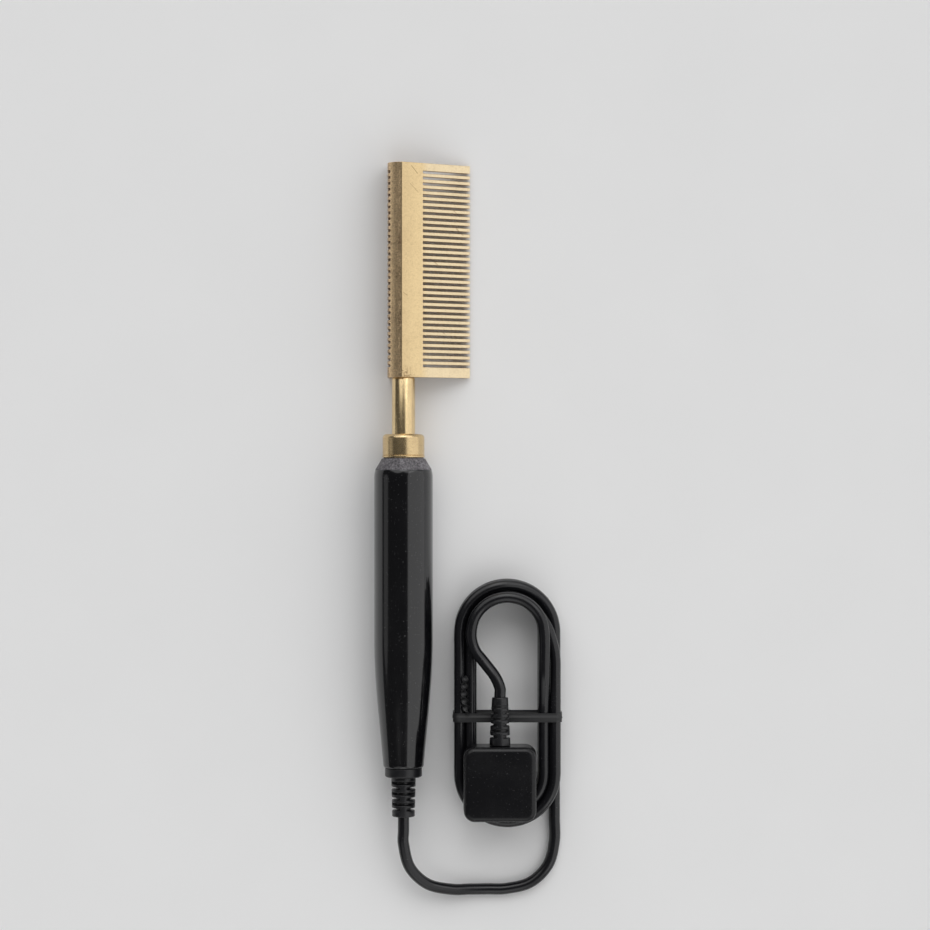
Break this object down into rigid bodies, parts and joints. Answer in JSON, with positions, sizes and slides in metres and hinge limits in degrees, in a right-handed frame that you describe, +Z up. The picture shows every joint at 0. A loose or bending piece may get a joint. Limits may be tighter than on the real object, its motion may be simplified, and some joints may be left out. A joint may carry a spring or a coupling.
{
  "type": "electric hot comb",
  "caption": "Electric straightening comb: heated brass head with two rows of teeth, brass neck and collar, turned black handle, swivel cord and plug.",
  "frame": {"origin": "centre of the comb's footprint on the surface it lies on, measured without the cord and plug", "axes": "+Y along the comb from the cord end to the head end, +Z up, long teeth towards +X"},
  "size_m": [0.0828, 0.3233, 0.03],
  "materials": {
    "brass": "satin brushed brass",
    "insulation": "mica board",
    "alloy": "extruded",
    "steel": "bright",
    "ceramic": "unglazed ceramic",
    "shoulder_plastic": "matt, lightly rough",
    "handle_plastic": "glossy black",
    "copper": "bare copper alloy",
    "sleeving": "braided glass fibre",
    "wire_jacket": "thin insulation",
    "swivel_plastic": "satin black",
    "relief_rubber": "satin soft plastic",
    "cord_jacket": "satin jacket",
    "tie_plastic": "coated wire tie",
    "plug_plastic": "moulded satin",
    "blade_brass": "bright stamped brass"
  },
  "bodies": {
    "comb": {"comb_spine": "brass", "long_tooth_row": "brass", "short_tooth_row": "brass", "heater_jacket": "insulation", "heater_wedges": "alloy", "heater_electrodes": "steel", "heater_chips": "ceramic", "shank_tube": "brass", "collar": "brass", "shoulder_ring": "shoulder_plastic", "handle_shell": "handle_plastic", "heat_bush": "ceramic", "rear_bulkhead": "insulation", "push_nut": "steel", "lead_insulator": "ceramic", "heater_leads": "copper", "lead_sleeves": "sleeving", "thermal_fuse": "steel", "crimp_sleeves": "copper", "link_wires": "wire_jacket", "swivel_socket": "swivel_plastic", "swivel_brushes": "copper", "cord_lead": "cord_jacket", "cord_hank": "cord_jacket", "cord_tail": "cord_jacket", "cord_tie": "tie_plastic", "plug_body": "plug_plastic", "plug_blades": "blade_brass", "plug_relief": "relief_rubber"},
    "swivel": {"swivel_spindle": "swivel_plastic", "slip_ring_live": "brass", "slip_ring_neutral": "brass", "spindle_clip": "steel", "swivel_cap": "swivel_plastic", "strain_relief": "relief_rubber", "cord_stub": "cord_jacket", "cord_cores": "wire_jacket"}
  },
  "joints": [
    {"name": "cord_swivel", "type": "hinge", "parent": "comb", "child": "swivel", "pos_m": [-0.00819, -0.122, 0.0129], "axis": [0, -1, 0], "continuous": true}
  ]
}
